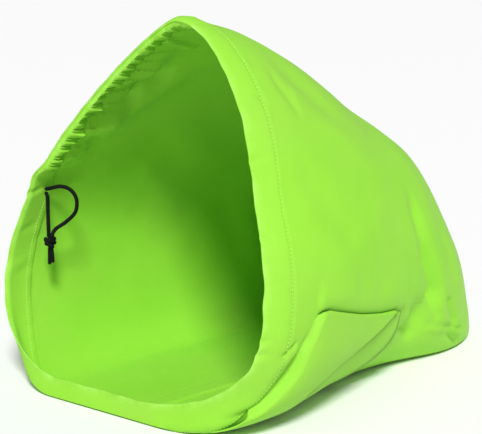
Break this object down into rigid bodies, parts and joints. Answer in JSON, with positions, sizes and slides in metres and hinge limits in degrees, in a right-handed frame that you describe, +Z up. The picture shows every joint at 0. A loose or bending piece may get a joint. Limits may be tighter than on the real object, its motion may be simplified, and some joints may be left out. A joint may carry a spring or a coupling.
{
  "type": "drawstring helmet bag",
  "caption": "Soft drawstring bag for a motorcycle helmet, open and lying on its side, with a gathered hem and a knotted cord.",
  "frame": {"origin": "on the floor under the middle of the bag's bounding box, the cord not counted", "axes": "+Z up, the open mouth faces -Y, the closed end is at +Y, the wall with the tuck is at +X"},
  "size_m": [0.2966, 0.4326, 0.3194],
  "materials": {
    "cloth": "smooth soft matt woven cloth, bright lime green",
    "cord": "matt black braided cord"
  },
  "bodies": {
    "root": {"near_panel": "cloth", "far_panel": "cloth", "mouth_hem": "cloth", "drawcord_strand_down": "cord", "drawcord_strand_loop": "cord", "drawcord_knot": "cord"}
  },
  "joints": []
}
